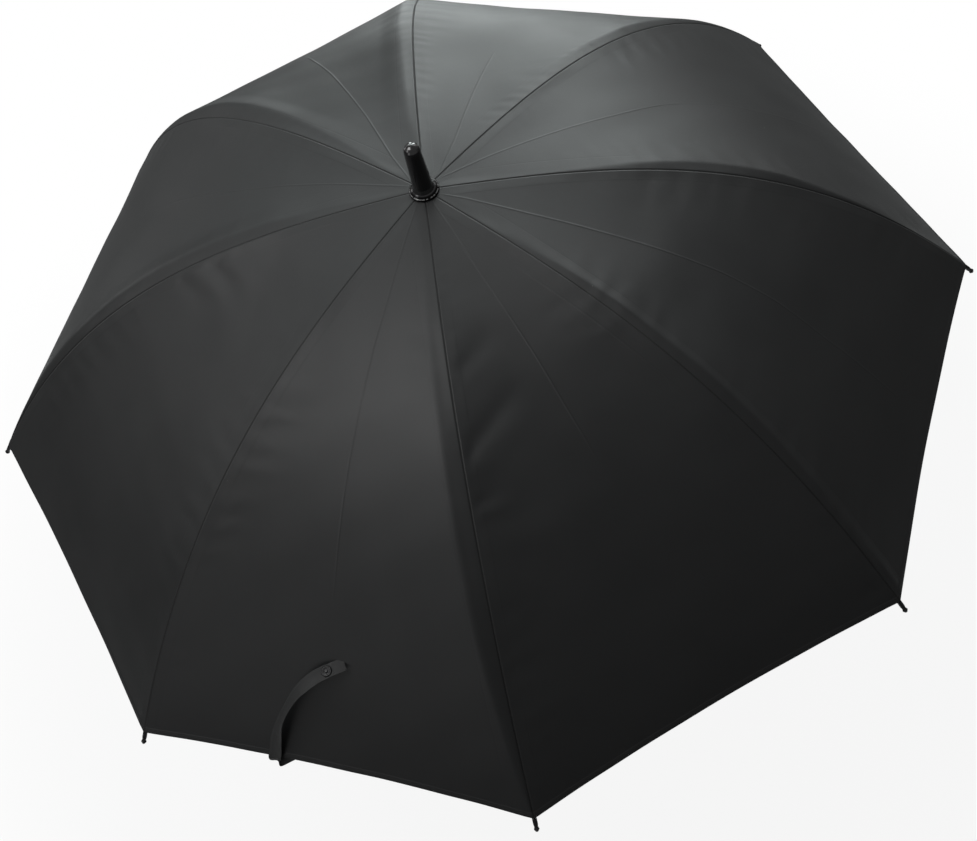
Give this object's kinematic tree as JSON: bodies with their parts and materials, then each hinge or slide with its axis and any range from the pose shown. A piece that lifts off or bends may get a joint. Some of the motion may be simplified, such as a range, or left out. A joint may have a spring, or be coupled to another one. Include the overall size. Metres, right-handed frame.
{
  "type": "umbrella",
  "caption": "Open stick umbrella with a domed black canopy, folding steel ribs and stretchers, a sliding runner, spring catches and a crook handle.",
  "frame": {"origin": "middle of the straight grip, on the shaft's axis", "axes": "+Z along the shaft, from the handle to the ferrule; +X from the shaft towards the crook's open end, and along one rib"},
  "size_m": [1.1166, 1.1166, 0.8844],
  "materials": {
    "black_cloth": "satin woven, proofed",
    "strap_cloth": "satin woven, doubled",
    "black_plastic": "moulded, glossy",
    "black_rod": "black, semi-gloss",
    "handle_gloss": "lacquered, glossy",
    "dark_metal": "blackened, semi-gloss",
    "steel": "plated, satin",
    "spring_steel": "plain",
    "bright_wire": "drawn, bright",
    "bright_collar": "polished"
  },
  "bodies": {
    "root": {"shaft_tube": "steel", "crown": "dark_metal", "crown_wire": "bright_wire", "ferrule": "black_plastic", "handle": "handle_gloss", "handle_collar": "bright_collar"},
    "runner_body": {"runner": "black_plastic", "runner_wire": "bright_wire"},
    "rib_body_1": {"rib_1": "steel", "canopy_inner_1": "black_cloth"},
    "rod_body_1": {"rib_outer_1": "black_rod", "tip_cap_1": "black_plastic", "canopy_outer_1": "black_cloth"},
    "stretcher_body_1": {"stretcher_1": "steel"},
    "rib_body_2": {"rib_2": "steel", "canopy_inner_2": "black_cloth"},
    "rod_body_2": {"rib_outer_2": "black_rod", "tip_cap_2": "black_plastic", "canopy_outer_2": "black_cloth"},
    "stretcher_body_2": {"stretcher_2": "steel"},
    "rib_body_3": {"rib_3": "steel", "canopy_inner_3": "black_cloth"},
    "rod_body_3": {"rib_outer_3": "black_rod", "tip_cap_3": "black_plastic", "canopy_outer_3": "black_cloth"},
    "stretcher_body_3": {"stretcher_3": "steel"},
    "rib_body_4": {"rib_4": "steel", "canopy_inner_4": "black_cloth"},
    "rod_body_4": {"rib_outer_4": "black_rod", "tip_cap_4": "black_plastic", "canopy_outer_4": "black_cloth"},
    "stretcher_body_4": {"stretcher_4": "steel"},
    "rib_body_5": {"rib_5": "steel", "canopy_inner_5": "black_cloth"},
    "rod_body_5": {"rib_outer_5": "black_rod", "tip_cap_5": "black_plastic", "canopy_outer_5": "black_cloth"},
    "stretcher_body_5": {"stretcher_5": "steel"},
    "rib_body_6": {"rib_6": "steel", "canopy_inner_6": "black_cloth"},
    "rod_body_6": {"rib_outer_6": "black_rod", "tip_cap_6": "black_plastic", "canopy_outer_6": "black_cloth", "strap": "strap_cloth", "strap_snap": "dark_metal"},
    "stretcher_body_6": {"stretcher_6": "steel"},
    "rib_body_7": {"rib_7": "steel", "canopy_inner_7": "black_cloth"},
    "rod_body_7": {"rib_outer_7": "black_rod", "tip_cap_7": "black_plastic", "canopy_outer_7": "black_cloth"},
    "stretcher_body_7": {"stretcher_7": "steel"},
    "rib_body_8": {"rib_8": "steel", "canopy_inner_8": "black_cloth"},
    "rod_body_8": {"rib_outer_8": "black_rod", "tip_cap_8": "black_plastic", "canopy_outer_8": "black_cloth"},
    "stretcher_body_8": {"stretcher_8": "steel"},
    "top_catch_body": {"top_catch": "spring_steel"},
    "bottom_catch_body": {"bottom_catch": "spring_steel"}
  },
  "joints": [
    {"name": "runner_slide", "type": "slide", "parent": "root", "child": "runner_body", "axis": [0, 0, -1], "range_m": [0, 0.4604], "deforming": ["canopy_inner_1", "canopy_inner_2", "canopy_inner_3", "canopy_inner_4", "canopy_inner_5", "canopy_inner_6", "canopy_inner_7", "canopy_inner_8", "canopy_outer_1", "canopy_outer_2", "canopy_outer_3", "canopy_outer_4", "canopy_outer_5", "canopy_outer_6", "canopy_outer_7", "canopy_outer_8", "strap", "top_catch", "bottom_catch"]},
    {"name": "rib_hinge_1", "type": "hinge", "parent": "root", "child": "rib_body_1", "pos_m": [0.0094, 0, 0.71978], "axis": [0, 1, 0], "range_deg": [0, 73.07]},
    {"name": "rod_flex_1", "type": "hinge", "parent": "rib_body_1", "child": "rod_body_1", "pos_m": [0.31158, 0, 0.65255], "axis": [0, 1, 0], "range_deg": [-26.91, 0]},
    {"name": "stretcher_hinge_1", "type": "hinge", "parent": "rib_body_1", "child": "stretcher_body_1", "pos_m": [0.2994, 0, 0.65316], "axis": [0, 1, 0], "range_deg": [-146.13, 0]},
    {"name": "rib_hinge_2", "type": "hinge", "parent": "root", "child": "rib_body_2", "pos_m": [0.00665, 0.00665, 0.71978], "axis": [-0.7071, 0.7071, 0], "range_deg": [0, 73.07]},
    {"name": "rod_flex_2", "type": "hinge", "parent": "rib_body_2", "child": "rod_body_2", "pos_m": [0.22032, 0.22032, 0.65255], "axis": [-0.7071, 0.7071, 0], "range_deg": [-26.91, 0]},
    {"name": "stretcher_hinge_2", "type": "hinge", "parent": "rib_body_2", "child": "stretcher_body_2", "pos_m": [0.21171, 0.21171, 0.65316], "axis": [-0.7071, 0.7071, 0], "range_deg": [-146.13, 0]},
    {"name": "rib_hinge_3", "type": "hinge", "parent": "root", "child": "rib_body_3", "pos_m": [0, 0.0094, 0.71978], "axis": [-1, 0, 0], "range_deg": [0, 73.07]},
    {"name": "rod_flex_3", "type": "hinge", "parent": "rib_body_3", "child": "rod_body_3", "pos_m": [0, 0.31158, 0.65255], "axis": [-1, 0, 0], "range_deg": [-26.91, 0]},
    {"name": "stretcher_hinge_3", "type": "hinge", "parent": "rib_body_3", "child": "stretcher_body_3", "pos_m": [0, 0.2994, 0.65316], "axis": [-1, 0, 0], "range_deg": [-146.13, 0]},
    {"name": "rib_hinge_4", "type": "hinge", "parent": "root", "child": "rib_body_4", "pos_m": [-0.00665, 0.00665, 0.71978], "axis": [-0.7071, -0.7071, 0], "range_deg": [0, 73.07]},
    {"name": "rod_flex_4", "type": "hinge", "parent": "rib_body_4", "child": "rod_body_4", "pos_m": [-0.22032, 0.22032, 0.65255], "axis": [-0.7071, -0.7071, 0], "range_deg": [-26.91, 0]},
    {"name": "stretcher_hinge_4", "type": "hinge", "parent": "rib_body_4", "child": "stretcher_body_4", "pos_m": [-0.21171, 0.21171, 0.65316], "axis": [-0.7071, -0.7071, 0], "range_deg": [-146.13, 0]},
    {"name": "rib_hinge_5", "type": "hinge", "parent": "root", "child": "rib_body_5", "pos_m": [-0.0094, 0, 0.71978], "axis": [0, -1, 0], "range_deg": [0, 73.07]},
    {"name": "rod_flex_5", "type": "hinge", "parent": "rib_body_5", "child": "rod_body_5", "pos_m": [-0.31158, 0, 0.65255], "axis": [0, -1, 0], "range_deg": [-26.91, 0]},
    {"name": "stretcher_hinge_5", "type": "hinge", "parent": "rib_body_5", "child": "stretcher_body_5", "pos_m": [-0.2994, 0, 0.65316], "axis": [0, -1, 0], "range_deg": [-146.13, 0]},
    {"name": "rib_hinge_6", "type": "hinge", "parent": "root", "child": "rib_body_6", "pos_m": [-0.00665, -0.00665, 0.71978], "axis": [0.7071, -0.7071, 0], "range_deg": [0, 73.07]},
    {"name": "rod_flex_6", "type": "hinge", "parent": "rib_body_6", "child": "rod_body_6", "pos_m": [-0.22032, -0.22032, 0.65255], "axis": [0.7071, -0.7071, 0], "range_deg": [-26.91, 0]},
    {"name": "stretcher_hinge_6", "type": "hinge", "parent": "rib_body_6", "child": "stretcher_body_6", "pos_m": [-0.21171, -0.21171, 0.65316], "axis": [0.7071, -0.7071, 0], "range_deg": [-146.13, 0]},
    {"name": "rib_hinge_7", "type": "hinge", "parent": "root", "child": "rib_body_7", "pos_m": [0, -0.0094, 0.71978], "axis": [1, 0, 0], "range_deg": [0, 73.07]},
    {"name": "rod_flex_7", "type": "hinge", "parent": "rib_body_7", "child": "rod_body_7", "pos_m": [0, -0.31158, 0.65255], "axis": [1, 0, 0], "range_deg": [-26.91, 0]},
    {"name": "stretcher_hinge_7", "type": "hinge", "parent": "rib_body_7", "child": "stretcher_body_7", "pos_m": [0, -0.2994, 0.65316], "axis": [1, 0, 0], "range_deg": [-146.13, 0]},
    {"name": "rib_hinge_8", "type": "hinge", "parent": "root", "child": "rib_body_8", "pos_m": [0.00665, -0.00665, 0.71978], "axis": [0.7071, 0.7071, 0], "range_deg": [0, 73.07]},
    {"name": "rod_flex_8", "type": "hinge", "parent": "rib_body_8", "child": "rod_body_8", "pos_m": [0.22032, -0.22032, 0.65255], "axis": [0.7071, 0.7071, 0], "range_deg": [-26.91, 0]},
    {"name": "stretcher_hinge_8", "type": "hinge", "parent": "rib_body_8", "child": "stretcher_body_8", "pos_m": [0.21171, -0.21171, 0.65316], "axis": [0.7071, 0.7071, 0], "range_deg": [-146.13, 0]},
    {"name": "top_catch_press", "type": "slide", "parent": "root", "child": "top_catch_body", "axis": [1, 0, 0], "range_m": [0, 0.0026], "stiffness_N_per_m": 800, "springref_m": -0.003},
    {"name": "bottom_catch_press", "type": "slide", "parent": "root", "child": "bottom_catch_body", "axis": [1, 0, 0], "range_m": [0, 0.0026], "stiffness_N_per_m": 800, "springref_m": -0.003}
  ],
  "couplings": [
    {"joint": "rib_hinge_1", "follows": "runner_slide", "rad_per_m": 2.7697},
    {"joint": "rod_flex_1", "follows": "runner_slide", "rad_per_m": -1.0198},
    {"joint": "stretcher_hinge_1", "follows": "runner_slide", "rad_per_m": -5.5393},
    {"joint": "rib_hinge_2", "follows": "runner_slide", "rad_per_m": 2.7697},
    {"joint": "rod_flex_2", "follows": "runner_slide", "rad_per_m": -1.0198},
    {"joint": "stretcher_hinge_2", "follows": "runner_slide", "rad_per_m": -5.5393},
    {"joint": "rib_hinge_3", "follows": "runner_slide", "rad_per_m": 2.7697},
    {"joint": "rod_flex_3", "follows": "runner_slide", "rad_per_m": -1.0198},
    {"joint": "stretcher_hinge_3", "follows": "runner_slide", "rad_per_m": -5.5393},
    {"joint": "rib_hinge_4", "follows": "runner_slide", "rad_per_m": 2.7697},
    {"joint": "rod_flex_4", "follows": "runner_slide", "rad_per_m": -1.0198},
    {"joint": "stretcher_hinge_4", "follows": "runner_slide", "rad_per_m": -5.5393},
    {"joint": "rib_hinge_5", "follows": "runner_slide", "rad_per_m": 2.7697},
    {"joint": "rod_flex_5", "follows": "runner_slide", "rad_per_m": -1.0198},
    {"joint": "stretcher_hinge_5", "follows": "runner_slide", "rad_per_m": -5.5393},
    {"joint": "rib_hinge_6", "follows": "runner_slide", "rad_per_m": 2.7697},
    {"joint": "rod_flex_6", "follows": "runner_slide", "rad_per_m": -1.0198},
    {"joint": "stretcher_hinge_6", "follows": "runner_slide", "rad_per_m": -5.5393},
    {"joint": "rib_hinge_7", "follows": "runner_slide", "rad_per_m": 2.7697},
    {"joint": "rod_flex_7", "follows": "runner_slide", "rad_per_m": -1.0198},
    {"joint": "stretcher_hinge_7", "follows": "runner_slide", "rad_per_m": -5.5393},
    {"joint": "rib_hinge_8", "follows": "runner_slide", "rad_per_m": 2.7697},
    {"joint": "rod_flex_8", "follows": "runner_slide", "rad_per_m": -1.0198},
    {"joint": "stretcher_hinge_8", "follows": "runner_slide", "rad_per_m": -5.5393}
  ]
}
